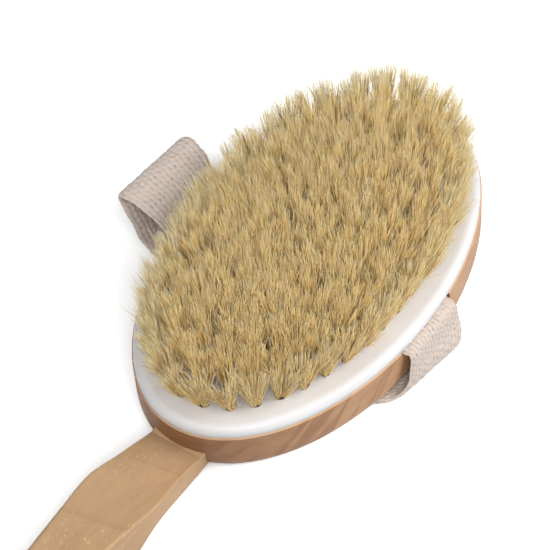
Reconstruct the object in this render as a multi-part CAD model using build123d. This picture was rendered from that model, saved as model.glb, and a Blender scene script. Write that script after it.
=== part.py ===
from build123d import *
import os
from collections import namedtuple
from math import atan2, cos, degrees, hypot, pi, radians, sin

# Body dry brush with a removable wooden handle and a hand strap.
# Millimetres. The brush lies on its back, bristles up.
# Origin: on the resting plane, under the centre of the oval head.
# +X runs from the handle towards the far end of the head, +Z is the bristle direction.
# Left is +Y and right is -Y, seen from the handle.

SIDES = (1, -1)             # left, right
OVERCUT = 1.0               # how far cutters stand past an open face

# ---- head ----------------------------------------------------------------
HEAD_LENGTH = 136.0
HEAD_WIDTH = 81.3
HEAD_THICKNESS = 15.9
HEAD_BACK_ROUND = 6.0
HEAD_TOP_CHAMFER = 0.35

# ---- hand strap ----------------------------------------------------------
STRAP_THICKNESS = 2.0
STRAP_WIDTH = 28.0          # where it lies against the back
STRAP_TUCK_WIDTH = 24.2     # gathered where it goes under the plate
STRAP_CENTRE_X = -1.2       # at the two rebates
STRAP_BACK_X = -4.8         # centre of the part under the head
STRAP_SKEW_SHIFT = 4.5      # how far each end of that part is off its centre in X
STRAP_SPAN_HALF = 36.0      # half length in Y of the part against the back
STRAP_TUCK_Y = 34.5         # how far in the ends reach under the plate
TUCK_OUT_Y = 41.2           # where the webbing leaves the rim
STRAP_STATION_STEP = 1.6    # approximate spacing of loft sections round a loop
STRAP_END_THICKNESS = STRAP_THICKNESS - 0.08
STRAP_MIDDLE_THICKNESS = STRAP_THICKNESS - 0.02

# Pockets for the strap ends, cut in the wood rim and in the plate's pad.
REBATE_DEPTH = STRAP_THICKNESS + 0.05
POCKET_WIDTH = STRAP_TUCK_WIDTH + 0.8
POCKET_LENGTH = 12.0
POCKET_END_GAP = 0.3

# ---- bristle plate -------------------------------------------------------
PLATE_INSET = 0.45          # plate edge stands in from the wood edge
PLATE_HEIGHT = 3.3          # above the seam
PLATE_EDGE_ROUND = 2.6
PAD_INSET = 6.0             # locating pad under the plate
PAD_DEPTH = 2.0
PAD_GAP = 0.2               # under the pad
PAD_SIDE_GAP = 0.15

# ---- tufts and their wire anchors ----------------------------------------
TUFT_HOLE_D = 3.2
TUFT_HOLE_DEPTH = 4.8
TUFT_D = 3.1
TUFT_ROOT_GAP = 0.05        # between the fibres and the hole's bottom
TUFT_PITCH = 7.1
TUFT_RING_STEP = 6.8
OUTER_RING = (58.9, 31.3)   # half length and half width of the outer ring of holes
TIP_RADIUS_MAX = 3.25
TIP_GAP = 0.08              # taken off each tip radius
# Rings from the outside in: start as a fraction of the pitch, outward lean
# of the tips, tip height above the seam.
RINGS = [
    (0.5, 3.8, 17.6), (0.0, 2.3, 18.6), (0.5, 1.2, 19.4), (0.0, 0.5, 19.9), (0.0, 0.0, 20.2),
]
ANCHOR = (3.14, 0.3, 1.6)   # length, thickness, height of the flat wire
ANCHOR_LIFT = 0.9           # fibre fold under the wire

# ---- staples and brads ---------------------------------------------------
STAPLE_CROWN = 8.0
STAPLE_WIRE = (1.2, 0.6)    # width, thickness
STAPLE_LEG = 7.0
STAPLE_Y = 37.6
STAPLE_STEP_X = 12.0
STAPLE_SINK = 0.05          # crown below the seam

BRAD_HEAD_D = 2.2
BRAD_HEAD_H = 0.6
BRAD_SHANK_D = 1.1
BRAD_LENGTH = 12.0
BRAD_POINT_LENGTH = 1.5
BRAD_POINT_RADIUS = 0.1
BRAD_TARGET = (40.0, 13.2)  # wanted X and Y, mirrored into four places
BRAD_SEARCH_STEP = 0.25
BRAD_SEARCH_COUNT = 16      # steps searched each way from the target
BRAD_CLEARANCE = 3.4        # distance to a tuft's centre beyond which more is no better
BRAD_SHIFT_PENALTY = 0.02   # score lost per millimetre from the target

# ---- handle --------------------------------------------------------------
TONGUE_WIDTH = 17.3
TONGUE_THICKNESS = 5.6
TONGUE_CORNER = 0.5
TONGUE_LENGTH = 36.0        # inside the head
TONGUE_CLEARANCE = 0.08
TONGUE_CENTRE_Z = 7.5
MORTISE_END_GAP = 1.5
MORTISE_OVERCUT = 5.0       # past the near end of the head

# Sections along the handle: x, top z, bottom z, half width, corner radius.
HANDLE_SECTIONS = [
    (-68.3, 10.30, 4.70, 8.65, 0.50), (-70.5, 11.15, 4.80, 8.72, 0.50),
    (-75.0, 13.05, 5.55, 8.95, 0.52), (-80.0, 14.75, 6.75, 9.35, 0.55),
    (-85.0, 16.30, 8.60, 10.05, 0.60), (-90.0, 17.95, 10.40, 10.80, 0.65),
    (-95.0, 19.35, 9.90, 10.85, 0.72), (-100.0, 20.35, 7.30, 10.45, 0.80),
    (-105.0, 21.10, 5.30, 10.00, 0.90), (-112.0, 22.10, 4.40, 9.45, 1.10),
    (-120.0, 23.00, 4.50, 8.95, 1.40), (-135.0, 23.75, 5.60, 8.35, 2.20),
    (-150.0, 23.55, 6.40, 8.35, 3.00), (-170.0, 22.20, 6.00, 8.90, 3.60),
    (-190.0, 20.35, 4.70, 9.80, 4.20), (-210.0, 18.40, 3.10, 10.80, 4.40),
    (-230.0, 16.75, 2.00, 11.70, 4.60), (-250.0, 15.60, 0.95, 12.40, 4.60),
    (-270.0, 14.85, 0.56, 12.80, 4.40), (-288.0, 14.15, 0.85, 12.60, 4.10),
    (-302.0, 13.40, 1.95, 11.60, 3.60),
]
NOSE_SECTIONS = [
    HANDLE_SECTIONS[-1], (-312.0, 12.70, 3.20, 10.40, 3.30),
    (-320.0, 12.05, 4.20, 8.75, 3.00), (-326.0, 11.40, 5.05, 6.70, 2.55),
    (-330.0, 10.70, 5.80, 4.40, 2.00), (-332.0, 9.90, 6.60, 2.20, 1.30),
]

# ---- hanging cord --------------------------------------------------------
CORD_D = 2.4
CORD_HOLE_D = 6.0
CORD_HOLE_X = -317.0
CORD_HOLE_CENTRE_Z = 8.0
CORD_HOLE_CUT = 40.0        # cutter length
KNOT_RADIUS = 3.0
# Centreline from knot to knot, through the hole: x from the hole, y, z.
CORD_POINTS = [
    (-70.0, 1.4, 1.9), (-58.0, 4.2, 1.5), (-46.0, 6.4, 1.6), (-34.0, 5.8, 3.0),
    (-24.0, 3.9, 6.8), (-16.0, 2.1, 11.4), (-9.5, 0.9, 14.0), (-3.2, 0.2, 14.6),
    (-0.94, 0.05, 13.66), (0.0, 0.0, 11.4), (0.0, 0.0, 8.1), (0.0, 0.0, 4.8),
    (-0.94, -0.05, 2.54), (-3.2, -0.2, 1.6), (-7.0, -0.8, 1.45), (-13.0, -1.8, 1.4),
    (-22.0, -3.7, 1.4), (-34.0, -5.8, 1.4), (-46.0, -6.4, 1.4), (-58.0, -4.2, 1.5),
    (-70.0, -1.4, 1.9),
]
# Left tail beyond the knot: x from the knot, y, z.
TAIL_POINTS = [(0.0, 1.4, 2.4), (-5.0, 2.4, 1.8), (-10.0, 4.0, 1.4)]

# ---- derived levels and places -------------------------------------------
BACK_Z = STRAP_THICKNESS                 # flat back of the head
SEAM_Z = BACK_Z + HEAD_THICKNESS         # joint between wood and plate
FIELD_Z = SEAM_Z + PLATE_HEIGHT          # top of the plate
HOLE_Z = FIELD_Z - TUFT_HOLE_DEPTH       # bottom of the tuft holes
HALF_LENGTH, HALF_WIDTH = HEAD_LENGTH / 2, HEAD_WIDTH / 2

STRAP_MID_Z = STRAP_THICKNESS / 2
TUCK_Z = SEAM_Z - REBATE_DEPTH + 0.02 + STRAP_MID_Z
SKEW = degrees(atan2(STRAP_SKEW_SHIFT, STRAP_SPAN_HALF))
JOIN_Y = STRAP_SPAN_HALF + 0.05          # where a loop meets the strap's middle
JOIN_Z = STRAP_MID_Z + 0.02
JOIN_SHIFT = STRAP_SKEW_SHIFT * JOIN_Y / STRAP_SPAN_HALF

# Stations round each loop: distance out from the centre plane, z, centre x,
# width, and the turn of the webbing about Z in degrees.
TUCK_STATION = (TUCK_OUT_Y, TUCK_Z, STRAP_CENTRE_X, STRAP_TUCK_WIDTH, 0.0)
LEFT_LOOP = [
    TUCK_STATION, (43.2, 19.4, -0.4, 26.0, -1.0),
    (45.9, 22.2, 0.8, 28.0, -2.5), (49.8, 23.4, 1.6, 29.2, -4.0), (54.0, 24.4, 2.1, 30.0, -5.5),
    (57.3, 23.4, 2.3, 30.0, -6.5), (57.2, 21.2, 2.3, 30.0, -6.5), (55.4, 17.8, 2.0, 29.6, -6.5),
    (53.8, 13.9, 1.7, 29.2, -6.6), (52.1, 10.0, 1.5, 28.8, -6.8), (49.6, 6.0, 1.2, 28.5, -7.0),
    (46.2, 3.0, 0.8, 28.1, -SKEW), (41.8, 1.5, 0.4, STRAP_WIDTH, -SKEW),
    (JOIN_Y, JOIN_Z, STRAP_BACK_X + JOIN_SHIFT, STRAP_WIDTH, -SKEW),
]
RIGHT_LOOP = [
    TUCK_STATION, (42.35, 15.1, -1.2, 24.3, -1.0),
    (42.6, 12.5, -1.2, 24.5, -1.5), (43.0, 9.0, -1.6, 24.8, -3.5), (43.6, 5.6, -2.8, 25.2, -7.0),
    (43.4, 3.2, -4.6, 25.8, -10.0), (41.6, 1.6, -6.6, 26.8, -10.0), (38.9, 1.15, -8.2, 27.6, -8.5),
    (JOIN_Y, JOIN_Z, STRAP_BACK_X - JOIN_SHIFT, STRAP_WIDTH, -SKEW),
]

Tuft = namedtuple("Tuft", "ring x y anchor_turn tip_x tip_y tip_z")


# ---- tuft layout ---------------------------------------------------------
def ellipse_points(half_length, half_width, pitch, phase):
    """Points at equal arc steps round an ellipse, an even number, starting near +X."""
    steps = 4000
    angles = [2 * pi * i / steps for i in range(steps + 1)]
    outline = [(half_length * cos(angle), half_width * sin(angle)) for angle in angles]
    run = [0.0]
    for (x0, y0), (x1, y1) in zip(outline, outline[1:]):
        run.append(run[-1] + hypot(x1 - x0, y1 - y0))
    count = 2 * round(run[-1] / pitch / 2)
    points, j = [], 0
    for k in range(count):
        goal = run[-1] * (k + phase) / count
        while run[j + 1] < goal:
            j += 1
        part = (goal - run[j]) / (run[j + 1] - run[j])
        (x0, y0), (x1, y1) = outline[j], outline[j + 1]
        points.append((x0 + part * (x1 - x0), y0 + part * (y1 - y0)))
    return points


def lay_out_tufts():
    tufts = []
    for ring, (phase, lean, height) in enumerate(RINGS):
        half_length, half_width = (half - ring * TUFT_RING_STEP for half in OUTER_RING)
        for x, y in ellipse_points(half_length, half_width, TUFT_PITCH, phase):
            # Tips lean along the ring's normal; anchors lie along its tangent.
            normal_x, normal_y = x / half_length**2, y / half_width**2
            size = hypot(normal_x, normal_y)
            turn = degrees(atan2(normal_y, normal_x)) + 90
            tip_x, tip_y = x + lean * normal_x / size, y + lean * normal_y / size
            tufts.append(Tuft(ring, x, y, turn, tip_x, tip_y, SEAM_Z + height))
    return tufts


def tip_radius(tuft, tufts):
    """Half the distance to the nearest neighbouring tip, less a small gap."""
    nearest = min(
        hypot(tuft.tip_x - other.tip_x, tuft.tip_y - other.tip_y)
        for other in tufts
        if other is not tuft
    )
    return min(TIP_RADIUS_MAX, nearest / 2 - TIP_GAP)


def tuft_anchor(tuft):
    z = HOLE_Z + ANCHOR_LIFT + ANCHOR[2] / 2
    return Pos(tuft.x, tuft.y, z) * Rot(0, 0, tuft.anchor_turn) * Box(*ANCHOR)


def tuft_bundle(tuft, tufts, anchor):
    """Bundle of fibres: straight in its hole, fanned out above the plate."""
    root = Plane((tuft.x, tuft.y, HOLE_Z + TUFT_ROOT_GAP)) * Circle(TUFT_D / 2)
    waist = Plane((tuft.x, tuft.y, FIELD_Z)) * Circle(TUFT_D / 2)
    tip = Plane((tuft.tip_x, tuft.tip_y, tuft.tip_z)) * Circle(tip_radius(tuft, tufts))
    return loft([root, waist, tip], ruled=True) - anchor


# ---- staples and brads ---------------------------------------------------
def make_staple(x, side):
    """Flat wire staple over a strap end, legs down into the wood."""
    width, thickness = STAPLE_WIRE
    y, top = side * STAPLE_Y, SEAM_Z - STAPLE_SINK
    staple = Pos(x, y, top - thickness / 2) * Box(STAPLE_CROWN, width, thickness)
    for end in (1, -1):
        leg_x = x + end * (STAPLE_CROWN - thickness) / 2
        staple += Pos(leg_x, y, top - STAPLE_LEG / 2) * Box(thickness, width, STAPLE_LEG)
    return staple


def brad_place(x, y, tufts):
    """The spot nearest to x, y that keeps clear of every tuft hole."""
    def score(spot):
        gap = min(hypot(spot[0] - tuft.x, spot[1] - tuft.y) for tuft in tufts)
        shift = hypot(spot[0] - x, spot[1] - y)
        return min(gap, BRAD_CLEARANCE) - BRAD_SHIFT_PENALTY * shift

    steps = range(-BRAD_SEARCH_COUNT, BRAD_SEARCH_COUNT + 1)
    spots = [(x + i * BRAD_SEARCH_STEP, y + j * BRAD_SEARCH_STEP) for i in steps for j in steps]
    return max(spots, key=score)


def make_brad(x, y):
    half_point = BRAD_POINT_LENGTH / 2
    top = Pos(x, y, FIELD_Z - BRAD_HEAD_H / 2) * Cylinder(BRAD_HEAD_D / 2, BRAD_HEAD_H)
    shank = Pos(x, y, FIELD_Z - BRAD_LENGTH / 2 + half_point) * Cylinder(
        BRAD_SHANK_D / 2, BRAD_LENGTH - BRAD_POINT_LENGTH
    )
    point = Pos(x, y, FIELD_Z - BRAD_LENGTH + half_point) * Cone(
        BRAD_POINT_RADIUS, BRAD_SHANK_D / 2, BRAD_POINT_LENGTH
    )
    return top + shank + point


# ---- wooden head and bristle plate ---------------------------------------
def oval_slab(inset, bottom, height):
    """Upright oval slab, its half axes smaller than the head's by inset."""
    oval = Ellipse(HALF_LENGTH - inset, HALF_WIDTH - inset)
    return extrude(Plane.XY.offset(bottom) * oval, height)


def strap_pocket(side, bottom, top):
    """Cutter that makes room for a strap end."""
    y = side * (STRAP_TUCK_Y - POCKET_END_GAP + POCKET_LENGTH / 2)
    return Pos(STRAP_CENTRE_X, y, (bottom + top) / 2) * Box(
        POCKET_WIDTH, POCKET_LENGTH, top - bottom
    )


def make_head(staples, brads):
    head = oval_slab(0, BACK_Z, HEAD_THICKNESS)
    head = fillet(head.edges().sort_by(Axis.Z)[0], HEAD_BACK_ROUND)
    head = chamfer(head.edges().sort_by(Axis.Z)[-1], HEAD_TOP_CHAMFER)
    # Recess for the plate's locating pad.
    recess_depth = PAD_DEPTH + PAD_GAP
    head -= oval_slab(PAD_INSET - PAD_SIDE_GAP, SEAM_Z - recess_depth, recess_depth + OVERCUT)
    for side in SIDES:
        head -= strap_pocket(side, SEAM_Z - REBATE_DEPTH, SEAM_Z + OVERCUT)
    # Mortise for the handle's tongue, open at the near end.
    mortise_length = TONGUE_LENGTH + MORTISE_END_GAP + MORTISE_OVERCUT
    mortise_x = -HALF_LENGTH - MORTISE_OVERCUT + mortise_length / 2
    head -= Pos(mortise_x, 0, TONGUE_CENTRE_Z) * Box(
        mortise_length,
        TONGUE_WIDTH + 2 * TONGUE_CLEARANCE,
        TONGUE_THICKNESS + 2 * TONGUE_CLEARANCE,
    )
    head -= staples
    head -= brads
    return head


def make_plate(tufts, brads):
    plate = oval_slab(PLATE_INSET, SEAM_Z, PLATE_HEIGHT)
    plate = fillet(plate.edges().sort_by(Axis.Z)[-1], PLATE_EDGE_ROUND)
    pad = oval_slab(PAD_INSET, SEAM_Z - PAD_DEPTH, PAD_DEPTH)
    for side in SIDES:
        pad -= strap_pocket(side, SEAM_Z - PAD_DEPTH, SEAM_Z)
    plate += pad
    holes = [
        Pos(tuft.x, tuft.y, (HOLE_Z + FIELD_Z + OVERCUT) / 2)
        * Cylinder(TUFT_HOLE_D / 2, TUFT_HOLE_DEPTH + OVERCUT)
        for tuft in tufts
    ]
    return plate - holes - brads


# ---- hand strap ----------------------------------------------------------
# One length of webbing in three pieces. Its middle lies against the back of the
# head, its ends come round the sides as loose loops and tuck under the plate.
def smooth(rows, step):
    """Rows joined by a cubic Hermite curve; the first two columns are y and z."""
    spans = [hypot(q[0] - p[0], q[1] - p[1]) for p, q in zip(rows, rows[1:])]
    slopes = [
        tuple((b - a) / span for a, b in zip(p, q)) for p, q, span in zip(rows, rows[1:], spans)
    ]
    # The curve starts straight outwards and ends straight inwards.
    tangents = [(1.0, 0.0, 0.0, 0.0, 0.0)]
    for i in range(1, len(spans)):
        before, after = spans[i - 1], spans[i]
        tangents.append(tuple(
            (before * q + after * p) / (before + after) for p, q in zip(slopes[i - 1], slopes[i])
        ))
    tangents.append((-1.0, 0.0) + slopes[-1][2:])
    points = []
    for i, span in enumerate(spans):
        count = max(1, round(span / step))
        ends = list(zip(rows[i], tangents[i], rows[i + 1], tangents[i + 1]))
        for k in range(count):
            u = k / count
            weights = (
                2 * u**3 - 3 * u**2 + 1,
                (u**3 - 2 * u**2 + u) * span,
                3 * u**2 - 2 * u**3,
                (u**3 - u**2) * span,
            )
            points.append(tuple(sum(w * v for w, v in zip(weights, values)) for values in ends))
    return points + [rows[-1]]


def make_strap_end(rows, side, staples):
    stations = smooth(rows, STRAP_STATION_STEP)
    last = len(stations) - 1
    sections = []
    for i, (y, z, x, width, turn) in enumerate(stations):
        if i == 0:
            along = Vector(0, side, 0)
        elif i == last:
            along = Vector(-side * sin(radians(SKEW)), -side * cos(radians(SKEW)), 0)
        else:
            before, after = stations[i - 1], stations[i + 1]
            along = Vector(
                after[2] - before[2], side * (after[0] - before[0]), after[1] - before[1]
            )
        across = Vector(cos(radians(turn)), sin(radians(turn)), 0)
        along = along - across * along.dot(across)
        plane = Plane(origin=(x, side * y, z), x_dir=across, z_dir=along)
        sections.append(plane * Rectangle(width, STRAP_END_THICKNESS))
    loop = loft(sections)
    tucked = Pos(STRAP_CENTRE_X, side * (STRAP_TUCK_Y + TUCK_OUT_Y) / 2, TUCK_Z) * Box(
        STRAP_TUCK_WIDTH, TUCK_OUT_Y - STRAP_TUCK_Y, STRAP_END_THICKNESS
    )
    return (tucked + loop) - staples


def make_strap_middle():
    length = 2 * hypot(STRAP_SPAN_HALF, STRAP_SKEW_SHIFT)
    return Pos(STRAP_BACK_X, 0, STRAP_MIDDLE_THICKNESS / 2) * Rot(0, 0, -SKEW) * Box(
        STRAP_WIDTH, length, STRAP_MIDDLE_THICKNESS
    )


# ---- handle and cord -----------------------------------------------------
def handle_loft(sections):
    faces = []
    for x, top, bottom, half_width, corner in sections:
        plane = Plane(origin=(x, 0, (top + bottom) / 2), x_dir=(0, 1, 0), z_dir=(-1, 0, 0))
        faces.append(plane * RectangleRounded(2 * half_width, top - bottom, corner))
    return loft(faces)


def make_handle():
    neck_and_grip = handle_loft(HANDLE_SECTIONS)
    nose = handle_loft(NOSE_SECTIONS)
    neck_x = HANDLE_SECTIONS[0][0]
    tongue = extrude(
        Plane(origin=(neck_x, 0, TONGUE_CENTRE_Z), x_dir=(0, 1, 0), z_dir=(1, 0, 0))
        * RectangleRounded(TONGUE_WIDTH, TONGUE_THICKNESS, TONGUE_CORNER),
        -HALF_LENGTH + TONGUE_LENGTH - neck_x,
    )
    handle = neck_and_grip + nose + tongue
    handle -= Pos(CORD_HOLE_X, 0, CORD_HOLE_CENTRE_Z) * Cylinder(CORD_HOLE_D / 2, CORD_HOLE_CUT)
    return handle


def cord_along(points, start_x, side=1, is_frenet=False):
    path = Spline([Vector(start_x + x, side * y, z) for x, y, z in points])
    section = Plane(origin=path @ 0, z_dir=path % 0) * Circle(CORD_D / 2)
    return sweep(section, path=path, is_frenet=is_frenet)


def make_cord():
    """One cord through the hole, over and under the rounded end, to a knot with two tails."""
    knot_x = CORD_HOLE_X + CORD_POINTS[0][0]
    cord = cord_along(CORD_POINTS, CORD_HOLE_X, is_frenet=True)
    cord += Pos(knot_x, 0, KNOT_RADIUS) * Sphere(KNOT_RADIUS)
    for side in SIDES:
        cord += cord_along(TAIL_POINTS, knot_x, side)
    return cord


# ---- build and output ----------------------------------------------------
tufts = lay_out_tufts()
anchors = [tuft_anchor(tuft) for tuft in tufts]
rings = [[] for _ in RINGS]
for tuft, anchor in zip(tufts, anchors):
    rings[tuft.ring].append(tuft_bundle(tuft, tufts, anchor))

left_staples, right_staples = (
    [make_staple(STRAP_CENTRE_X + step * STAPLE_STEP_X / 2, side) for step in (1, -1)]
    for side in SIDES
)
staples = left_staples + right_staples
brads = [
    make_brad(*brad_place(end * BRAD_TARGET[0], side * BRAD_TARGET[1], tufts))
    for end in (1, -1)
    for side in SIDES
]

nodes = {
    "head_body": make_head(staples, brads),
    "bristle_plate": make_plate(tufts, brads),
    "strap_left_end": make_strap_end(LEFT_LOOP, 1, left_staples),
    "strap_right_end": make_strap_end(RIGHT_LOOP, -1, right_staples),
    "strap_middle": make_strap_middle(),
    "handle": make_handle(),
    "hanging_cord": make_cord(),
    "tuft_anchors": Compound(children=anchors),
    "plate_brads": Compound(children=brads),
    "strap_staples": Compound(children=staples),
}
for number, bundles in enumerate(rings, start=1):
    nodes[f"tufts_ring_{number}"] = Compound(children=bundles)

os.makedirs("parts", exist_ok=True)
for name, shape in nodes.items():
    export_step(shape, f"parts/{name}.step")
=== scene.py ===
"""Oval body brush: wooden head, long handle, rings of bristle tufts, a hand strap and a cord.

The head is centred on the origin with its long axis on X: toe towards +X, handle towards -X.
The bristles stand up (+Z), the strap crosses the back underneath, and left is +Y.
Lengths are in mm unless a comment says otherwise, and MM turns them into metres.
"""
import math
from collections import namedtuple

import bpy
import numpy as np
from mathutils import Matrix, Vector


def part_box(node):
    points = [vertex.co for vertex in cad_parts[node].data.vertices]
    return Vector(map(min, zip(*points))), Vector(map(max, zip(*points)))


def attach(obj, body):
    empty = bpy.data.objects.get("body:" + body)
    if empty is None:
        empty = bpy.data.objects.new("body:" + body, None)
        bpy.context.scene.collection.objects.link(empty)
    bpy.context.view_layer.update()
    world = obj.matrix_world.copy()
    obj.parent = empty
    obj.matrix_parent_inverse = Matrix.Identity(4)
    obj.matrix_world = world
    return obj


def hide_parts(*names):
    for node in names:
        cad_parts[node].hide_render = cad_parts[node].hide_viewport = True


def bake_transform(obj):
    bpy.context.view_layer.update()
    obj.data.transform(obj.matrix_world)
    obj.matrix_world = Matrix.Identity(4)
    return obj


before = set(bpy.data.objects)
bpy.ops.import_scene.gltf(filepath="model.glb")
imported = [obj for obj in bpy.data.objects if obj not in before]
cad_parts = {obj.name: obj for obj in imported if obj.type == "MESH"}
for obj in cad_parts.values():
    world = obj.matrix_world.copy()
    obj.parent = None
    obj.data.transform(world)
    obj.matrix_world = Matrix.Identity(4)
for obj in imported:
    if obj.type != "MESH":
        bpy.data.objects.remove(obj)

MM = 0.001
TURN = 2 * math.pi
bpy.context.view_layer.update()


def box(name):
    """Low and high corners of a CAD piece."""
    low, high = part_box(name)
    return np.array(low) / MM, np.array(high) / MM


HEAD_LOW, HEAD_HIGH = box("head_body")
HEAD_HALF_X = (HEAD_HIGH[0] - HEAD_LOW[0]) / 2
HEAD_HALF_Y = (HEAD_HIGH[1] - HEAD_LOW[1]) / 2
BACK_Z = HEAD_LOW[2]
SEAM_Z = HEAD_HIGH[2]
FIELD_Z = box("bristle_plate")[1][2]  # the face the bristles stand on

# Every fibre takes one column of the UV map as its shade; the last two are special.
SHADE_COLUMNS = 64
PALE_COLUMN = 62
DARK_COLUMN = 63


# ---------------------------------------------------------------- node helper
class Nodes:
    """Short way to write a material's node tree. Texture scales are per metre."""

    def __init__(self, name):
        self.mat = bpy.data.materials.new(name)
        self.mat.use_nodes = True
        self.tree = self.mat.node_tree
        self.tree.nodes.clear()
        output = self.add("OutputMaterial")
        self.bsdf = self.add("BsdfPrincipled")
        self.put(output.inputs["Surface"], self.bsdf.outputs[0])

    def put(self, socket, value):
        """Link a socket, or set a value; an RGB colour gets its alpha."""
        if isinstance(value, bpy.types.NodeSocket):
            self.tree.links.new(value, socket)
        elif socket.type == "RGBA" and len(value) == 3:
            socket.default_value = (*value, 1)
        else:
            socket.default_value = value

    def fill(self, node, inputs):
        for name, value in inputs.items():
            self.put(node.inputs[name.replace("_", " ")], value)

    def add(self, kind, **inputs):
        node = self.tree.nodes.new("ShaderNode" + kind)
        self.fill(node, inputs)
        return node

    def coords(self, kind="Object"):
        return self.add("TexCoord").outputs[kind]

    def uv(self, name):
        node = self.add("UVMap")
        node.uv_map = name
        return node.outputs[0]

    def attribute(self, name):
        node = self.add("Attribute")
        node.attribute_name = name
        return node.outputs["Fac"]

    def mapping(self, vector, stretch, turn=(0, 0, 0), offset=(0, 0, 0)):
        node = self.add("Mapping", Vector=vector, Scale=stretch, Rotation=turn, Location=offset)
        return node.outputs[0]

    def noise(self, vector, scale=1.0, detail=3.0, rough=0.55, distort=0.0):
        node = self.add(
            "TexNoise", Vector=vector, Scale=scale, Detail=detail, Roughness=rough,
            Distortion=distort,
        )
        return node.outputs["Fac"]

    def stretched(self, vector, stretch, turn=(0, 0, 0), offset=(0, 0, 0), **noise):
        """Noise with its own scale on each axis."""
        return self.noise(self.mapping(vector, stretch, turn, offset), **noise)

    def cells(self, vector):
        return self.add("TexVoronoi", Vector=vector, Scale=1.0).outputs["Distance"]

    def white(self, vector):
        return self.add("TexWhiteNoise", Vector=vector).outputs["Value"]

    def math(self, operation, a, b=0.0, c=0.0):
        node = self.add("Math")
        node.operation = operation
        for socket, value in zip(node.inputs, (a, b, c)):
            self.put(socket, value)
        return node.outputs[0]

    def times(self, a, b):
        return self.math("MULTIPLY", a, b)

    def plus(self, a, b):
        return self.math("ADD", a, b)

    def split(self, vector):
        return self.add("SeparateXYZ", Vector=vector).outputs

    def join(self, x, y, z):
        return self.add("CombineXYZ", X=x, Y=y, Z=z).outputs[0]

    def ramp(self, value, *stops):
        """Colour ramp; each stop is (position, RGB)."""
        node = self.add("ValToRGB", Fac=value)
        elements = node.color_ramp.elements
        while len(elements) < len(stops):
            elements.new(0.5)
        for element, (position, colour) in zip(elements, stops):
            element.position = position
            element.color = (*colour, 1)
        return node.outputs[0]

    def greys(self, value, *stops):
        """Grey ramp; each stop is (position, level)."""
        return self.ramp(value, *((position, (level,) * 3) for position, level in stops))

    def rise(self, value, start, end):
        """Black up to start, white from end."""
        return self.greys(value, (start, 0), (end, 1))

    def mix(self, amount, a, b):
        node = self.add("Mix")
        node.data_type = "RGBA"
        # inputs 6 and 7 are the colour pair
        for index, value in ((0, amount), (6, a), (7, b)):
            self.put(node.inputs[index], value)
        return node.outputs[2]

    def tint(self, colour, other, mask, strength):
        """Blend towards another colour where the mask is bright."""
        return self.mix(self.times(mask, strength), colour, other)

    def bump(self, height, strength, distance):
        """The distance is in metres."""
        node = self.add("Bump", Strength=strength, Distance=distance, Height=height)
        return node.outputs[0]

    def surface(self, colour, rough, normal=None, **other):
        self.fill(self.bsdf, {"Base Color": colour, "Roughness": rough, **other})
        if normal is not None:
            self.put(self.bsdf.inputs["Normal"], normal)
        return self.mat


def srgb(*channels):
    """Linear colour from 0-255 sRGB channels."""
    shares = [c / 255 for c in channels]
    return tuple(c / 12.92 if c <= 0.04045 else ((c + 0.055) / 1.055) ** 2.4 for c in shares)


# ---------------------------------------------------------------- materials
def wood(name, pale, mid, dark, weights, ring_pitch, ring_offset, wander,
         ring_strength, fleck, seed, streak):
    """Sanded hardwood with its grain along X.

    weights are how fast x, y and z cross the growth layers; ring_pitch, ring_offset
    and wander are in mm; ring_strength, fleck and streak are strengths.
    """
    m = Nodes(name)
    p = m.coords()
    x, y, z = m.split(p)

    def grain(along, across, shift, **noise):
        return m.stretched(p, (along, across, across), offset=(seed, *shift), **noise)

    # growth layers, with a slow wander of the grain
    drift = m.math("SUBTRACT", grain(14, 40, (0, 0), detail=2), 0.5)
    layer = m.times(y, weights[1])
    layer = m.plus(layer, m.times(z, weights[2]))
    layer = m.plus(layer, m.times(x, weights[0]))
    layer = m.plus(layer, m.times(drift, wander * MM))
    layer = m.math("SUBTRACT", layer, ring_offset * MM)
    ring = m.math("FRACT", m.math("DIVIDE", layer, ring_pitch * MM))
    late = m.greys(ring, (0, 0), (0.72, 0.03), (0.93, 0.3), (0.972, 1), (0.988, 1), (1, 0))

    # long fibre streaks, fine and wide, over a cloudy base
    fibre = grain(110, 3400, (1, 2), detail=3, rough=0.6)
    wide = grain(20, 300, (5, 2), detail=3, rough=0.6)
    cloud = grain(18, 45, (9, 4), detail=2, rough=0.5)
    colour = m.mix(m.rise(cloud, start=0.35, end=0.68), mid, pale)
    colour = m.tint(colour, dark, m.rise(wide, start=0.42, end=0.75), strength=0.3 * streak)
    shown = m.greys(grain(30, 55, (4, 1), detail=2), (0.35, 0.35), (0.6, 1))
    colour = m.tint(colour, dark, m.times(late, shown), strength=ring_strength)
    colour = m.tint(colour, dark, m.rise(fibre, start=0.45, end=0.75), strength=0.2)

    # short pale ray flecks, in patches
    spots = grain(800, 1700, (3, 8), detail=1, rough=0.4, distort=1.2)
    patch = grain(60, 70, (7, 7), detail=1, rough=0.4)
    flecks = m.times(m.rise(spots, start=0.65, end=0.71), m.rise(patch, start=0.42, end=0.62))
    light = tuple(min(1.0, c * 1.3 + 0.05) for c in pale)
    colour = m.tint(colour, light, flecks, strength=fleck)

    # tiny dark pores
    pores = m.cells(m.mapping(p, stretch=(420, 2300, 2300), offset=(seed, 2, 6)))
    pore = m.greys(pores, (0.0, 1), (0.10, 0))
    colour = m.tint(colour, tuple(c * 0.5 for c in dark), pore, strength=0.3)

    # raised streaks, sunken pores
    streaks = m.plus(m.times(fibre, 0.6), m.times(wide, 0.5))
    height = m.math("SUBTRACT", streaks, m.times(pore, 0.5))
    normal = m.bump(height, strength=0.2, distance=0.0002)
    rough = m.greys(wide, (0.3, 0.5), (0.7, 0.62))
    return m, colour, rough, normal


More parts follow.
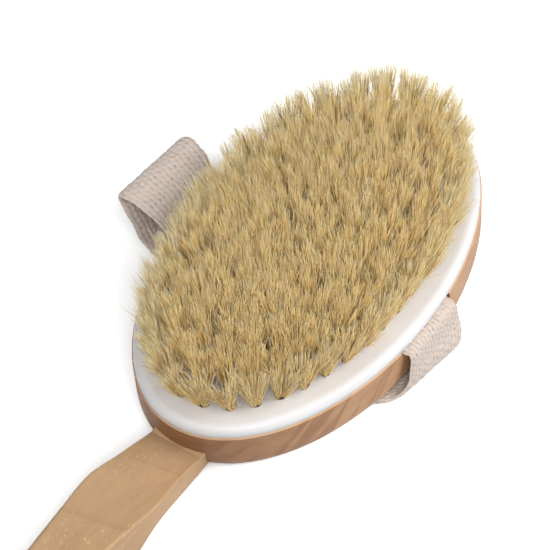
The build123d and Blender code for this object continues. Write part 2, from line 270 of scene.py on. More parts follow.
def head_wood():
    m, colour, rough, normal = wood(
        "head_beech", pale=srgb(188, 148, 111), mid=srgb(174, 132, 97), dark=srgb(130, 89, 60),
        weights=(0.04, 0.30, 0.95), ring_pitch=4.2, ring_offset=1.3, wander=3.0,
        ring_strength=0.22, fleck=0.12, seed=3.0, streak=0.9,
    )
    x, y, z = m.split(m.coords())

    # faint slanted figure across the curved wall, strongest at the handle end
    slant = m.math("SUBTRACT", m.times(x, 250.0), m.times(z, 170.0))
    figure_at = m.join(slant, m.times(y, 90.0), m.times(z, 22.0))
    figure = m.noise(figure_at, detail=1, rough=0.4)
    length_share = m.math("DIVIDE", m.plus(x, HEAD_HALF_X * MM), 2 * HEAD_HALF_X * MM)
    where = m.greys(length_share, (0, 0.9), (0.3, 0.6), (0.5, 0.2), (0.7, 0.08))
    shown = m.rise(figure, start=0.46, end=0.55)
    colour = m.tint(colour, srgb(146, 104, 72), shown, strength=where)

    # painted shade: the wall is coloured darker where it faces either end, most at the handle
    # end
    def end_shade(facing, strength):
        return m.times(m.math("POWER", m.math("MAXIMUM", facing, 0.0), 1.5), strength)

    normal_x = m.split(m.coords("Normal"))[0]
    handle_end = end_shade(m.times(normal_x, -1.0), strength=0.8)
    toe_end = end_shade(normal_x, strength=0.35)
    colour = m.mix(m.plus(handle_end, toe_end), colour, srgb(132, 92, 62))

    # painted highlight: a paler line along the top corner of the rim
    rim_highlight_width = 0.75 * MM
    above = m.math("SUBTRACT", z, SEAM_Z * MM - rim_highlight_width)
    edge = m.rise(m.math("DIVIDE", above, rim_highlight_width), start=0.3, end=0.7)
    colour = m.tint(colour, srgb(218, 182, 146), edge, strength=0.45)
    return m.surface(colour, rough, normal, Specular_IOR_Level=0.32)


def handle_wood():
    m, colour, rough, normal = wood(
        "handle_hardwood",
        pale=srgb(187, 153, 116), mid=srgb(175, 140, 103), dark=srgb(132, 95, 64),
        weights=(0.0, -0.045, 1.0), ring_pitch=6.45, ring_offset=14.75, wander=0.9,
        ring_strength=0.2, fleck=0.8, seed=11.0, streak=0.7,
    )
    return m.surface(colour, rough, normal, Specular_IOR_Level=0.32)


def plate_plastic():
    m = Nodes("plate_milky")
    p = m.coords()
    cloud = m.stretched(p, stretch=(30, 30, 30), detail=3, rough=0.5)
    fine = m.noise(p, scale=900, detail=3, rough=0.6)
    scuff = m.stretched(p, stretch=(120, 900, 900), turn=(0, 0, 0.7), detail=2, rough=0.5)
    cloudy = m.rise(cloud, start=0.35, end=0.7)
    colour = m.mix(cloudy, srgb(218, 217, 218), srgb(211, 210, 210))

    # painted bounce light: a golden tint on the plate among the tufts, where light comes back
    # off the bristles
    def squared_share(distance, half):
        return m.math("POWER", m.math("DIVIDE", distance, half * MM), 2.0)

    x, y, _ = m.split(p)
    squares = m.plus(squared_share(x, HEAD_HALF_X), squared_share(y, HEAD_HALF_Y))
    inside = m.greys(m.math("SQRT", squares), (0.62, 1), (0.80, 0))
    colour = m.tint(colour, srgb(222, 190, 128), inside, strength=0.65)

    height = m.plus(m.times(fine, 0.4), m.times(scuff, 0.3))
    return m.surface(
        colour, m.greys(scuff, (0.3, 0.36), (0.7, 0.48)),
        m.bump(height, strength=0.12, distance=0.0001),
        Subsurface_Weight=0.35, Subsurface_Radius=(0.0035, 0.003, 0.0026),
        Subsurface_Scale=1.0, Specular_IOR_Level=0.45,
    )


def bristle_fibre():
    """Shade by UV column, with v running from root to tip."""
    m = Nodes("bristle_fibre")
    u, v, _ = m.split(m.uv("OFBake"))
    column = m.math("FLOOR", m.times(u, float(SHADE_COLUMNS)))
    # two random values for each column, and a slow change along the fibre
    shade = m.white(m.join(column, 0.3, 1.7))
    second = m.white(m.join(column, 5.3, 2.1))
    along = m.noise(m.join(m.times(column, 3.7), m.times(v, 5.0), 0.0), detail=2)

    colour = m.ramp(
        shade, (0.0, srgb(236, 190, 112)), (0.3, srgb(252, 214, 138)),
        (0.65, srgb(255, 226, 154)), (1.0, srgb(255, 240, 194)),
    )
    colour = m.tint(colour, srgb(250, 214, 142), second, strength=0.3)
    # painted shade: the lower part of each fibre, down in the shaded gaps, is a deeper gold;
    # painted highlight: the tips are paler cream
    root = m.greys(v, (0.0, 1), (0.35, 0.8), (0.8, 0))
    colour = m.tint(colour, srgb(255, 196, 96), root, strength=0.75)
    colour = m.tint(colour, srgb(255, 242, 202), m.rise(v, start=0.75, end=1.0), strength=0.6)
    uneven = m.rise(along, start=0.4, end=0.7)
    colour = m.tint(colour, srgb(240, 196, 120), uneven, strength=0.15)

    # the last two columns hold the palest fibres and the odd dark one
    is_pale = m.math("COMPARE", column, float(PALE_COLUMN), c=0.4)
    towards_tip = m.greys(v, (0.3, 0.15), (0.75, 0.9))
    colour = m.tint(colour, srgb(255, 243, 200), is_pale, strength=towards_tip)
    is_dark = m.math("GREATER_THAN", column, DARK_COLUMN - 0.5)
    colour = m.mix(is_dark, colour, srgb(96, 70, 44))
    return m.surface(
        colour, m.greys(second, (0.0, 0.42), (1.0, 0.58)), Specular_IOR_Level=0.14,
        Sheen_Weight=0.6, Sheen_Roughness=0.45, Sheen_Tint=(1.0, 0.8, 0.44, 1.0),
        Subsurface_Weight=0.6, Subsurface_Radius=(0.0006, 0.0004, 0.00022),
        Subsurface_Scale=1.0,
    )


def strap_cotton():
    m = Nodes("strap_cotton")
    p = m.coords()
    knit = m.attribute("knit")
    fuzz = m.noise(p, scale=5200, detail=3, rough=0.7)
    yarn = m.stretched(p, stretch=(2600,) * 3, turn=(0.5, 0.2, 0.7), detail=2, rough=0.6)
    tone = m.noise(p, scale=160, detail=2, rough=0.5)
    # painted shade: dark between the stitches, pale on top of them
    colour = m.ramp(
        knit, (0.0, srgb(134, 115, 103)), (0.3, srgb(166, 150, 139)),
        (0.62, srgb(190, 175, 164)), (1.0, srgb(207, 192, 181)),
    )
    toned = m.rise(tone, start=0.4, end=0.7)
    colour = m.tint(colour, srgb(202, 184, 172), toned, strength=0.35)
    fuzzy = m.rise(fuzz, start=0.5, end=0.8)
    colour = m.tint(colour, srgb(222, 213, 206), fuzzy, strength=0.2)
    return m.surface(
        colour, m.greys(fuzz, (0.3, 0.86), (0.7, 0.95)),
        m.bump(m.plus(m.times(fuzz, 0.5), yarn), strength=0.5, distance=0.0001),
        Specular_IOR_Level=0.12, Sheen_Weight=0.35, Sheen_Roughness=0.5,
    )


def cord_cotton():
    m = Nodes("cord_cotton")
    p = m.coords()
    fuzz = m.noise(p, scale=4200, detail=3, rough=0.7)
    tone = m.noise(p, scale=260, detail=2, rough=0.5)
    colour = m.mix(tone, srgb(216, 198, 162), srgb(236, 222, 192))
    fuzzy = m.rise(fuzz, start=0.45, end=0.75)
    colour = m.tint(colour, srgb(188, 166, 126), fuzzy, strength=0.35)
    return m.surface(
        colour, m.greys(fuzz, (0.3, 0.82), (0.7, 0.94)),
        m.bump(fuzz, strength=0.5, distance=0.00012),
        Specular_IOR_Level=0.15, Sheen_Weight=0.3,
    )


def wire(name, tone):
    """Drawn metal wire; tone is its darker sRGB colour."""
    m = Nodes(name)
    drawn = m.stretched(m.coords(), stretch=(400, 3000, 3000), detail=2, rough=0.6)
    lighter = [min(255, channel + 28) for channel in tone]
    return m.surface(
        m.mix(drawn, srgb(*tone), srgb(*lighter)),
        m.greys(drawn, (0.3, 0.28), (0.7, 0.44)),
        m.bump(drawn, strength=0.2, distance=0.00004), Metallic=1.0,
    )


# CAD pieces that keep their own mesh
CAD_MATERIALS = {
    "head_body": head_wood(),
    "handle": handle_wood(),
    "bristle_plate": plate_plastic(),
    "tuft_anchors": wire("anchor_wire", tone=(150, 150, 152)),
    "plate_brads": wire("brad_wire", tone=(168, 166, 160)),
    "strap_staples": wire("staple_wire", tone=(160, 162, 166)),
}
for piece, material in CAD_MATERIALS.items():
    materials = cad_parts[piece].data.materials
    materials.clear()
    materials.append(material)


# ---------------------------------------------------------------- mesh and curve helpers
def mesh_object(name, vertices, loops, sizes, material):
    """Smooth-shaded object; loops lists the face corners, sizes the corners of each face."""
    starts = np.concatenate([[0], np.cumsum(sizes)[:-1]])
    mesh = bpy.data.meshes.new(name)
    mesh.vertices.add(len(vertices))
    mesh.vertices.foreach_set("co", np.asarray(vertices * MM, np.float32).ravel())
    mesh.loops.add(len(loops))
    mesh.loops.foreach_set("vertex_index", np.asarray(loops, np.int32))
    mesh.polygons.add(len(starts))
    mesh.polygons.foreach_set("loop_start", starts.astype(np.int32))
    mesh.polygons.foreach_set("use_smooth", np.full(len(starts), True))
    mesh.update(calc_edges=True)
    mesh.materials.append(material)
    obj = bpy.data.objects.new(name, mesh)
    bpy.context.scene.collection.objects.link(obj)
    return obj


def ring_faces(rings, sides):
    """Quads that join a stack of closed rings, and the two end caps."""
    i, j = np.meshgrid(np.arange(rings - 1), np.arange(sides), indexing="ij")
    after = (j + 1) % sides
    corners = [i * sides + j, i * sides + after, (i + 1) * sides + after, (i + 1) * sides + j]
    rim = np.arange(sides)
    caps = np.stack([rim[::-1], (rings - 1) * sides + rim])
    return np.stack(corners, -1).reshape(-1, 4), caps


def unit(v):
    return v / np.maximum(np.linalg.norm(v, axis=-1, keepdims=True), 1e-12)


def run_length(points):
    """Distance travelled along a line of points."""
    steps = np.linalg.norm(np.diff(points, axis=0), axis=1)
    return np.concatenate([[0], np.cumsum(steps)])


def hermite(points, tangents, spans, step):
    """Closely spaced points on the cubic curve with the given tangents."""
    out = []
    for i, span in enumerate(spans):
        count = max(2, int(span / step))
        for u in np.arange(count) / count:
            out.append(
                (2 * u**3 - 3 * u**2 + 1) * points[i]
                + (u**3 - 2 * u**2 + u) * span * tangents[i]
                + (3 * u**2 - 2 * u**3) * points[i + 1]
                + (u**3 - u**2) * span * tangents[i + 1]
            )
    out.append(points[-1])
    return np.array(out)


def spline(points, step=0.25):
    """Cubic spline through points, its ends aimed along the first and last spans."""
    p = np.array(points, float)
    h = np.linalg.norm(np.diff(p, axis=0), axis=1)
    system = np.zeros((len(p), len(p)))
    target = np.zeros_like(p)
    for i in range(1, len(p) - 1):
        system[i, i - 1] = h[i]
        system[i, i] = 2 * (h[i] + h[i - 1])
        system[i, i + 1] = h[i - 1]
        before, after = p[i] - p[i - 1], p[i + 1] - p[i]
        target[i] = 3 * (h[i] / h[i - 1] * before + h[i - 1] / h[i] * after)
    system[0, 0] = system[-1, -1] = 1
    target[0] = (p[1] - p[0]) / h[0]
    target[-1] = (p[-1] - p[-2]) / h[-1]
    return hermite(p, np.linalg.solve(system, target), h, step)


# ---------------------------------------------------------------- bristles
TUFT_PITCH = 7.1
RING_STEP = 6.8
OUTER_RADII = (58.9, 31.3)
HOLE_RADIUS = 1.45
ROOT_Z = FIELD_Z - 0.9
FIBRE_STEPS = np.array([0.0, 0.2, 0.45, 0.75, 1.0])  # rings of a fibre, share of its length
FIBRE_SIDES = 3
# Thickness of a fibre by share of its length.
TAPER = np.interp(FIBRE_STEPS, [0, 0.15, 0.6, 1.0], [0.95, 1.0, 0.88, 0.3])

# lean: outward lean of the tips; height: tips above the seam; lock_spread: uneven lock
# heights; toe_lean: extra lean at the toe; pale: share of palest fibres; phase: shift of
# the tufts in tuft spacings; fibres: count in a tuft
Ring = namedtuple("Ring", "lean height lock_spread toe_lean pale phase fibres")
RINGS = (  # from the outermost inwards
    Ring(2.9, 17.6, 0.4, 1.5, 0.5, 0.5, 245),
    Ring(1.9, 18.6, 0.65, 1.5, 0.06, 0.0, 250),
    Ring(1.0, 19.4, 0.65, 0.5, 0.06, 0.5, 250),
    Ring(0.4, 19.9, 0.65, 0.5, 0.06, 0.0, 250),
    Ring(-0.4, 20.2, 0.65, 0.5, 0.06, 0.0, 250),
)


def ellipse_points(a, b, pitch, phase):
    """An even number of points spaced about one pitch apart round an ellipse."""
    t = np.linspace(0, TURN, 4001)
    points = np.stack([a * np.cos(t), b * np.sin(t)], 1)
    run = run_length(points)
    count = 2 * round(run[-1] / pitch / 2)
    goal = run[-1] * (np.arange(count) + phase) / count
    return np.stack([np.interp(goal, run, points[:, k]) for k in range(2)], 1)


def grow_tuft(ring, x, y, a, b, rng):
    """Centre lines, radii and shade columns of one tuft's fibres.

    The hole is at x, y on the ellipse with radii a, b. The order of the draws matters.
    """
    n = ring.fibres
    out = unit(np.array([x / a**2, y / b**2, 0.0]))
    side = np.array([-out[1], out[0], 0.0])

    # fibres fill the round hole and cling together in a few flame-shaped locks
    locks = rng.randint(5, 8)
    number = np.arange(locks)
    radius = 1.25 * np.sqrt((number + 0.5) / locks)
    angle = rng.uniform(0, 6.28) + 2.4 * number + rng.normal(0, 0.3, locks)
    member = rng.randint(0, locks, n)
    lock_at = np.stack([radius * np.cos(angle), radius * np.sin(angle)], 1)[member]
    off_x = lock_at[:, 0] + rng.normal(0, 0.3, n)
    off_y = lock_at[:, 1] + rng.normal(0, 0.3, n)
    off = np.hypot(off_x, off_y)
    over = np.maximum(1.0, off / HOLE_RADIUS)
    off = off / over
    lock_top = rng.normal(0, ring.lock_spread, locks)[member]
    lock_x = rng.normal(0, 0.55, locks)[member]
    lock_y = rng.normal(0, 0.55, locks)[member]
    root = np.stack([x + off_x / over, y + off_y / over, np.full(n, ROOT_Z)], 1)

    # the bundle's own lean, sideways slide, height and fan, different for every hole
    toe = max(0.0, x / a)
    lean = ring.lean + rng.normal(0, 0.35) + ring.toe_lean * toe
    slide = rng.normal(0, 0.5)
    top = SEAM_Z + ring.height + rng.normal(0, 0.22) + 0.9 * toe
    fan = rng.uniform(2.5, 3.0)
    tip = root.copy()
    tip[:, :2] += lean * out[:2] + slide * side[:2]
    tip[:, 0] += lock_at[:, 0] * fan + lock_x + rng.normal(0, 1.05, n)
    tip[:, 1] += lock_at[:, 1] * fan + lock_y + rng.normal(0, 1.05, n)
    # the tips round off towards the edge of the tuft
    drop = 0.16 * (off * fan / HOLE_RADIUS) ** 1.5
    tip[:, 2] = top + 0.35 + lock_top + rng.normal(0, 0.8, n) - drop

    # shorter fibres and strays
    short = rng.uniform(0, 1, n) < 0.13
    length = np.where(short, rng.uniform(0.66, 0.95, n), 1.0)
    stray = rng.uniform(0, 1, n) < 0.1
    tip[:, :2] += np.where(stray[:, None], rng.normal(0, 2.0, (n, 2)), 0.0)
    # thin pale flyaways standing a little proud of the rest
    fly = rng.uniform(0, 1, n) < 0.13
    tip[:, :2] += np.where(fly[:, None], rng.normal(0, 1.9, (n, 2)), 0.0)
    tip[:, 2] += np.where(fly, rng.uniform(-0.3, 1.1, n), 0.0)
    tip = root + (tip - root) * length[:, None]

    # gentle curve: upright at the root, bending outwards, with a slight S
    middle = root + (tip - root) * 0.5
    middle[:, :2] -= (tip - root)[:, :2] * 0.03
    middle[:, :2] += rng.normal(0, 0.2, (n, 2))
    sway = rng.normal(0, 0.12, (n, 3)) * np.array([1, 1, 0.0])
    sway = sway * np.where(stray, 5.0, 1.0)[:, None]
    s = FIBRE_STEPS[None, :, None]
    lines = (
        (1 - s) ** 2 * root[:, None] + 2 * s * (1 - s) * middle[:, None]
        + s**2 * tip[:, None] + np.sin(TURN * s) * sway[:, None] * 0.8
    )

    width = np.where(fly, rng.uniform(0.065, 0.09, n), rng.uniform(0.1, 0.15, n))
    pale = fly | (rng.uniform(0, 1, n) < ring.pale)
    column = np.where(pale, PALE_COLUMN, rng.randint(0, PALE_COLUMN, n))
    column = np.where(rng.uniform(0, 1, n) < 0.004, DARK_COLUMN, column)
    return lines, width[:, None] * TAPER[None, :], column


def grow_ring(index):
    """Fibres of every tuft in one ring, tuft by tuft."""
    ring = RINGS[index]
    rng = np.random.RandomState(100 + index)
    a, b = (radius - index * RING_STEP for radius in OUTER_RADII)
    holes = ellipse_points(a, b, TUFT_PITCH, ring.phase)
    tufts = [grow_tuft(ring, x, y, a, b, rng) for x, y in holes]
    return [np.array(values) for values in zip(*tufts)]


def fibre_faces(steps):
    """Corners, UVs and face sizes of one fibre: sides, pointed tip, closed root."""
    n = FIBRE_SIDES
    faces = []
    for k in range(steps - 1):
        low, high = k / steps, (k + 1) / steps
        for j in range(n):
            after = (j + 1) % n
            u0, u1 = j / n, (j + 1) / n
            corners = [n * k + j, n * k + after, n * k + n + after, n * k + n + j]
            faces.append((corners, [(u0, low), (u1, low), (u1, high), (u0, high)]))
    last = steps - 1
    for j in range(n):
        corners = [n * last + j, n * last + (j + 1) % n, n * steps]
        uvs = [(j / n, last / steps), ((j + 1) / n, last / steps), ((j + 0.5) / n, 1.0)]
        faces.append((corners, uvs))
    faces.append(([0, 2, 1], [(0.1, 0.0), (0.5, 0.03), (0.9, 0.0)]))
    corners = np.array([corner for face, _ in faces for corner in face])
    uvs = np.array([uv for _, face in faces for uv in face])
    return corners, uvs, [len(face) for face, _ in faces]


def fibre_object(name, lines, radii, column, material):
    """lines: fibre points (n, steps, 3), radii: (n, steps), column: shade column of each."""
    n, steps = lines.shape[:2]
    rng = np.random.RandomState(n + steps)
    tangent = np.empty_like(lines)
    tangent[:, 1:-1] = lines[:, 2:] - lines[:, :-2]
    tangent[:, 0] = lines[:, 1] - lines[:, 0]
    tangent[:, -1] = lines[:, -1] - lines[:, -2]
    tangent = unit(tangent)
    # each fibre is turned at random about its own length
    guide = unit(rng.normal(size=(n, 1, 3)) * np.array([1, 1, 0.15]))
    normal = unit(guide - (guide * tangent).sum(-1, keepdims=True) * tangent)
    binormal = np.cross(tangent, normal)
    sides = []
    for j in range(FIBRE_SIDES):
        angle = TURN * j / FIBRE_SIDES
        spoke = math.cos(angle) * normal + math.sin(angle) * binormal
        sides.append(lines + radii[..., None] * spoke)
    vertices = np.stack(sides, 2).reshape(n, steps * FIBRE_SIDES, 3)
    tip = lines[:, -1] + tangent[:, -1] * radii[:, -1:] * 2.5
    vertices = np.concatenate([vertices, tip[:, None]], 1)

    corners, fibre_uv, sizes = fibre_faces(steps)
    loops = (corners[None, :] + vertices.shape[1] * np.arange(n)[:, None]).ravel()
    obj = mesh_object(name, vertices.reshape(-1, 3), loops, np.tile(sizes, n), material)
    # a small margin keeps each fibre inside its own column
    uv = np.empty((n, len(corners), 2))
    uv[..., 0] = (column[:, None] + 0.06 + 0.88 * fibre_uv[None, :, 0]) / SHADE_COLUMNS
    uv[..., 1] = 0.004 + 0.992 * fibre_uv[None, :, 1]
    layer = obj.data.uv_layers.new(name="OFBake")
    layer.data.foreach_set("uv", uv.astype(np.float32).ravel())
    return obj


def build_bristles():
    """Each ring is two pieces, one for each half of its tufts."""
    material = bristle_fibre()
    for index in range(len(RINGS)):
        lines, radii, column = grow_ring(index)
        half = len(lines) // 2
        for part, cut in (("a", slice(0, half)), ("b", slice(half, None))):
            obj = fibre_object(
                f"bristles_ring_{index + 1}{part}", np.concatenate(lines[cut]),
                np.concatenate(radii[cut]), column[cut].ravel(), material,
            )
            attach(obj, "head")
            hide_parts(f"tufts_ring_{index + 1}")


build_bristles()


# ---------------------------------------------------------------- hand strap
STRAP_HALF = 36.0  # half the straight run under the back
STRAP_Z = BACK_Z / 2
SKEW = math.degrees(math.atan2(4.5, STRAP_HALF))
TUCK_Y = 34.5  # inner end of the tucked part
TUCK_OUT = 41.2
TUCK_Z = SEAM_Z - 1.03
TUCK = (TUCK_Z, -1.2, 24.2, 0.0)  # z, centre x, width, turn

# Stations round each loop: distance out from the XZ plane, z, centre x, width,
# turn about Z in degrees.
LEFT_LOOP = [
    (TUCK_OUT, *TUCK),
    (43.2, 19.4, -0.4, 26.0, -1.0), (45.9, 22.2, 0.8, 28.0, -2.5),
    (49.8, 23.4, 1.6, 29.2, -4.0), (54.0, 24.4, 2.1, 30.0, -5.5),
    (57.3, 23.4, 2.3, 30.0, -6.5), (57.2, 21.2, 2.3, 30.0, -6.5),
    (55.4, 17.8, 2.0, 29.6, -6.5), (53.8, 13.9, 1.7, 29.2, -6.6),
    (52.1, 10.0, 1.5, 28.8, -6.8), (49.6, 6.0, 1.2, 28.5, -7.0),
    (46.2, 3.0, 0.8, 28.1, -SKEW), (41.8, 1.5, 0.4, 28.0, -SKEW),
    (STRAP_HALF, STRAP_Z, -0.3, 28.0, -SKEW),
]
RIGHT_LOOP = [
    (TUCK_OUT, *TUCK),
    (42.35, 15.1, -1.2, 24.3, -1.0), (42.6, 12.5, -1.2, 24.5, -1.5),
    (43.0, 9.0, -1.6, 24.8, -3.5), (43.6, 5.6, -2.8, 25.2, -7.0),
    (43.4, 3.2, -4.6, 25.8, -10.0), (41.6, 1.6, -6.6, 26.8, -10.0),
    (38.9, 1.15, -8.2, 27.6, -8.5), (STRAP_HALF, STRAP_Z, -9.3, 28.0, -SKEW),
]
LOOP_STEP = 0.2
STRAP_STEP = 0.31
STRAP_COLUMNS = 78  # mesh columns across each face
STITCH_PITCH = 2.1
STITCH_COLUMNS = 8.5  # stitches across half the width
CORE_HALF = 0.48  # half thickness between the stitches
STITCH_RISE = 0.44


def smooth_loop(stations):
    """Stations joined by a smooth curve that leaves outwards and comes back inwards."""
    p = np.array(stations, float)
    h = np.linalg.norm(np.diff(p[:, :2], axis=0), axis=1)
    slope = np.diff(p, axis=0) / h[:, None]
    tangent = np.zeros_like(p)
    tangent[0] = (1, 0, 0, 0, 0)
    weighted = h[:-1, None] * slope[1:] + h[1:, None] * slope[:-1]
    tangent[1:-1] = weighted / (h[:-1] + h[1:])[:, None]
    tangent[-1] = slope[-1]
    tangent[-1, :2] = (-1, 0)
    return hermite(p, tangent, h, LOOP_STEP)


def strap_path():
    """Distance run, and y, z, x, width and turn there, from the left end to the right."""
    tuck = np.array([[TUCK_Y, *TUCK]])
    mirror = np.array([-1, 1, 1, 1, 1.0])
    right = (smooth_loop(RIGHT_LOOP) * mirror)[::-1]
    path = np.concatenate([tuck, smooth_loop(LEFT_LOOP), right, tuck * mirror])
    run = run_length(path[:, :2])
    s = np.linspace(0, run[-1], int(run[-1] / STRAP_STEP) + 1)
    return s, [np.interp(s, run, path[:, k]) for k in range(5)]


def strap_edges(s, width):
    """Half widths of the two wavering edges."""
    rng = np.random.RandomState(7)
    edges = []
    for wavelength, phase in ((9.0, 0.0), (10.0, 1.5)):
        waver = np.zeros(len(s))
        for _ in range(3):
            scaled = wavelength * rng.uniform(0.7, 1.4)
            waver += 0.1 * np.sin(TURN * s / scaled + rng.uniform(0, 6.28))
        scallop = 0.07 * np.sin(TURN * s / STITCH_PITCH + phase)
        edges.append(width / 2 - 0.3 + waver + scallop)
    return edges


def knit(s, w, flip):
    """Height and shade of the stitches, both 0 to about 1, s along and w across.

    flip is 1 or -1 for the two faces, and slants the stitches the other way.
    """
    # stitch columns that wander a little; f is the place across one
    place = w * STITCH_COLUMNS
    place = place + 0.10 * np.sin(s * 0.8 + w * 3.0) + 0.06 * np.sin(s * 2.3 + w * 11.0)
    column = np.floor(place)
    f = place - column
    # alternate columns are half a stitch apart; g is the place along one
    jitter = (
        0.16 * np.sin(column * 12.9898 + flip) + 0.05 * np.sin(s * 0.9 + column)
        + 0.05 * np.sin(s * 2.3 + 2.1 * column)
    )
    odd = np.mod(column, 2)
    lean = 1 - 2 * odd
    g = s / STITCH_PITCH + 0.5 * odd + (0.35 + 0.35 * lean) * flip * (f - 0.5) + jitter
    g = g - np.floor(g)
    # rounded stitches of uneven size, with the twist of the yarn
    size = 0.86 + 0.14 * np.sin(7.1 * column + np.floor(s / STITCH_PITCH) * 4.7)
    ply = 1 + 0.07 * np.sin(TURN * (2.6 * g + 1.4 * f * lean))
    round_across = np.clip(np.sin(math.pi * f), 0, 1) ** 0.5
    round_along = np.clip(np.sin(math.pi * g), 0, 1) ** 0.4
    height = size * ply * round_across * round_along
    # painted shade: dark pits of random depth at the stitch corners, faint dark lines between
    # stitches
    to_side, to_end = 0.5 - np.abs(f - 0.5), 0.5 - np.abs(g - 0.5)
    row = np.round(s / STITCH_PITCH + 0.5 * odd + jitter)
    pick = np.sin(np.round(place) * 12.9898 + row * 78.233) * 43758.5453
    pick = pick - np.floor(pick)
    pit = np.exp(-((to_side / 0.17) ** 2) - (to_end / 0.26) ** 2) * (0.15 + 0.85 * pick)
    gaps = 0.2 * np.exp(-((to_side / 0.14) ** 2)) + 0.12 * np.exp(-((to_end / 0.14) ** 2))
    return height, np.clip(1.0 - 0.9 * pit - gaps, 0, 1)


def build_strap():
    s, (y, z, x, width, turn) = strap_path()
    turn = np.radians(turn)
    centre = np.stack([x, y, z], 1)
    across = np.stack([np.cos(turn), np.sin(turn), np.zeros(len(s))], 1)
    along = unit(np.gradient(centre, axis=0))
    along = unit(along - (along * across).sum(1, keepdims=True) * across)
    normal = np.cross(across, along)  # away from the head on the back
    edge_a, edge_b = strap_edges(s, width)
    w = np.linspace(-1, 1, STRAP_COLUMNS)
    w = np.sign(w) * (1 - (1 - np.abs(w)) ** 1.1)  # closer together at the edges

    # face, its columns from edge to edge, stitch shift along, stitch shift across
    faces = ((1, w, 0.0, 0), (-1, w[::-1], 1.1, 0.06))
    rows, shades = [], []
    for side, ws, shift_s, shift_w in faces:
        half = np.where(ws[None, :] > 0, edge_a[:, None], edge_b[:, None]) * ws[None, :]
        thin = np.clip(1 - np.abs(ws) ** 14, 0, 1) ** 0.5
        height, shade = knit(s[:, None] + shift_s, ws[None, :] + 4.0 + shift_w, side)
        thick = (CORE_HALF + STITCH_RISE * height) * thin[None, :]
        rows.append(
            centre[:, None] + half[..., None] * across[:, None]
            + side * thick[..., None] * normal[:, None]
        )
        shades.append(shade)
    vertices = np.concatenate(rows, 1).reshape(-1, 3)
    sides = 2 * STRAP_COLUMNS
    quads, caps = ring_faces(len(s), sides)
    # the faces must point outwards: turn them over if the volume comes out negative
    a, b, c, d = (vertices[quads[:, k]] for k in range(4))
    if (a * (np.cross(b, c) + np.cross(c, d))).sum() < 0:
        quads, caps = quads[:, ::-1], caps[:, ::-1]
    loops = np.concatenate([quads.ravel(), caps.ravel()])
    sizes = [4] * len(quads) + [sides] * 2
    obj = mesh_object("hand_strap", vertices, loops, sizes, strap_cotton())
    attribute = obj.data.attributes.new("knit", "FLOAT", "POINT")
    shade = np.concatenate(shades, 1)
    attribute.data.foreach_set("value", shade.reshape(-1).astype(np.float32))
    return obj


strap = build_strap()
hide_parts("strap_left_end", "strap_right_end", "strap_middle")
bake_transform(strap)


# ---------------------------------------------------------------- hanging cord
HOLE_X = -317.0
# Centre line from the knot up through the hole and back: x from the hole, y, z.
CORD_PATH = [
    (-70.0, 1.4, 1.9), (-58.0, 4.2, 1.5), (-46.0, 6.4, 1.6), (-34.0, 5.8, 3.0),
    (-24.0, 3.9, 6.8), (-16.0, 2.1, 11.4), (-9.5, 0.9, 14.0), (-3.2, 0.2, 14.6),
    (-0.94, 0.05, 13.66), (0.0, 0.0, 11.4), (0.0, 0.0, 8.1), (0.0, 0.0, 4.8),
    (-0.94, -0.05, 2.54), (-3.2, -0.2, 1.6), (-7.0, -0.8, 1.45), (-13.0, -1.8, 1.4),
    (-22.0, -3.7, 1.4), (-34.0, -5.8, 1.4), (-46.0, -6.4, 1.4), (-58.0, -4.2, 1.5),
    (-70.0, -1.4, 1.9),
]
KNOT_X = HOLE_X + CORD_PATH[0][0]
KNOT_LENGTH = 5.2
KNOT_TURNS = 2.6
STRANDS = 3
STRAND_SIDES = 8
STRAND_STEP = 0.28


def line_frame(line):
    """Two directions square to a line, carried along it without twisting."""
    tangent = unit(np.gradient(line, axis=0))
    normal = np.empty_like(line)
    n = np.cross(tangent[0], [0.3, 0.4, 1.0])
    for k, t in enumerate(tangent):
        n = n - (n @ t) * t
        n = n / np.linalg.norm(n)
        normal[k] = n
    return normal, np.cross(tangent, normal)


def rope(points, strand_radius, lay, pitch):
    """Vertex rings of each strand; lay is how far the strands sit from the centre line."""
    fine = spline(points)
    run = run_length(fine)
    s = np.linspace(0, run[-1], int(run[-1] / STRAND_STEP) + 1)
    centre = np.stack([np.interp(s, run, fine[:, k]) for k in range(3)], 1)
    normal, binormal = line_frame(centre)
    around = TURN * np.arange(STRAND_SIDES) / STRAND_SIDES
    cos, sin = np.cos(around)[None, :, None], np.sin(around)[None, :, None]
    tubes = []
    for k in range(STRANDS):
        angle = (TURN * (s / pitch + k / STRANDS))[:, None]
        line = centre + lay * (np.cos(angle) * normal + np.sin(angle) * binormal)
        line_n, line_b = line_frame(line)
        spokes = cos * line_n[:, None] + sin * line_b[:, None]
        tubes.append(line[:, None] + strand_radius * spokes)
    return tubes


def build_cord():
    loop = [(HOLE_X + x, y, z) for x, y, z in CORD_PATH]
    tubes = rope(loop, strand_radius=0.6, lay=0.56, pitch=5.2)
    # the knot: turns of the same cord pulled tight
    angle = np.linspace(0, KNOT_TURNS * TURN, 60)
    x = KNOT_X - KNOT_LENGTH / 2 + KNOT_LENGTH * angle / (KNOT_TURNS * TURN)
    turns = np.stack([x, 2.0 * np.cos(angle), 3.15 + 1.9 * np.sin(angle)], 1)
    tubes += rope(turns, strand_radius=0.55, lay=0.5, pitch=4.6)
    # two short tails beyond the knot
    for side in (1, -1):
        tail = [
            (KNOT_X, side * 1.4, 2.4), (KNOT_X - 5.0, side * 2.4, 1.8),
            (KNOT_X - 9.6, side * 4.0, 1.5),
        ]
        tubes += rope(tail, strand_radius=0.56, lay=0.54, pitch=4.8)

    loops, sizes, base = [], [], 0
    for tube in tubes:
        quads, caps = ring_faces(len(tube), STRAND_SIDES)
        loops += [quads.ravel() + base, caps.ravel() + base]
        sizes += [4] * len(quads) + [STRAND_SIDES] * 2
        base += len(tube) * STRAND_SIDES
    vertices = np.concatenate([tube.reshape(-1, 3) for tube in tubes])
    return mesh_object("cord_loop", vertices, np.concatenate(loops), sizes, cord_cotton())


cord = build_cord()
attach(cord, "cord")
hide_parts("hanging_cord")


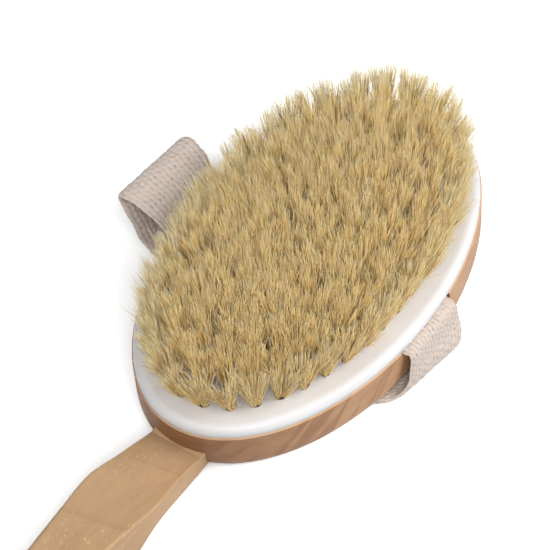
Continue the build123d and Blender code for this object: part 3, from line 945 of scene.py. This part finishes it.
# ---------------------------------------------------------------- studio
def build_floor():
    bpy.ops.mesh.primitive_plane_add(size=6.0, location=(0, 0, 0.0))
    obj = bpy.context.object
    obj.name = "studio_floor"
    m = Nodes("studio_floor")
    speck = m.noise(m.coords(), scale=40, detail=2)
    pale = m.mix(speck, (1.5,) * 3, (1.56,) * 3)
    # pale to look at, but it throws only part of the light back up at the brush
    bounce = m.add("LightPath").outputs["Is Diffuse Ray"]
    m.surface(m.mix(bounce, pale, (0.22,) * 3), rough=0.9, Specular_IOR_Level=0.0)
    obj.data.materials.append(m.mat)


def build_world():
    """White to look at, soft and dim as a light."""
    world = bpy.data.worlds.new("studio")
    bpy.context.scene.world = world
    world.use_nodes = True
    tree = world.node_tree
    background = tree.nodes["Background"]
    background.inputs["Color"].default_value = (1.0, 1.0, 1.0, 1)
    seen = tree.nodes.new("ShaderNodeLightPath").outputs["Is Camera Ray"]
    glow = tree.nodes.new("ShaderNodeMath")
    glow.operation = "MULTIPLY_ADD"
    glow.inputs[1].default_value = 0.8  # added where the camera sees it
    glow.inputs[2].default_value = 0.2  # strength as a light
    tree.links.new(seen, glow.inputs[0])
    tree.links.new(glow.outputs[0], background.inputs["Strength"])


def area_light(name, place, size, power, colour):
    """Rectangular light aimed at the origin; place and size in metres, power in watts."""
    light = bpy.data.lights.new(name, "AREA")
    light.shape = "RECTANGLE"
    light.size, light.size_y = size
    light.energy = power
    light.color = colour
    obj = bpy.data.objects.new(name, light)
    obj.location = place
    obj.rotation_mode = "QUATERNION"
    obj.rotation_quaternion = (-Vector(place)).to_track_quat("-Z", "Y")
    bpy.context.scene.collection.objects.link(obj)


# name, place, size, power, colour
LIGHTS = (
    ("key", (0.49, -0.82, 0.58), (0.8, 0.7), 11.8, (0.985, 0.99, 1.0)),
    ("front", (-0.60, -0.50, 0.92), (0.6, 0.6), 8.2, (0.985, 0.995, 1.0)),
    ("side", (-0.70, 0.30, 0.85), (0.7, 0.7), 3.2, (0.985, 0.995, 1.0)),
)
CAMERA_PLACE = (-359.82, -266.87, 582.79)
CAMERA_RIGHT = (0.555937, -0.829358, -0.055669)
CAMERA_BACK = (-0.487963, -0.379843, 0.785882)  # away from the view
SENSOR_WIDTH = 36.0
FOCAL_LENGTH = 163.6363636


def build_camera():
    data = bpy.data.cameras.new("camera")
    camera = bpy.data.objects.new("camera", data)
    bpy.context.scene.collection.objects.link(camera)
    back = Vector(CAMERA_BACK).normalized()
    up = back.cross(Vector(CAMERA_RIGHT).normalized()).normalized()
    right = up.cross(back).normalized()
    turn = Matrix((right, up, back)).transposed()
    camera.matrix_world = Matrix.Translation(Vector(CAMERA_PLACE) * MM) @ turn.to_4x4()
    data.sensor_width = SENSOR_WIDTH
    data.lens = FOCAL_LENGTH
    data.clip_start, data.clip_end = 0.01, 10.0
    bpy.context.scene.camera = camera


build_floor()
build_world()
for light_values in LIGHTS:
    area_light(*light_values)
bpy.context.scene.view_settings.view_transform = "Standard"
bpy.context.scene.view_settings.look = "None"
build_camera()
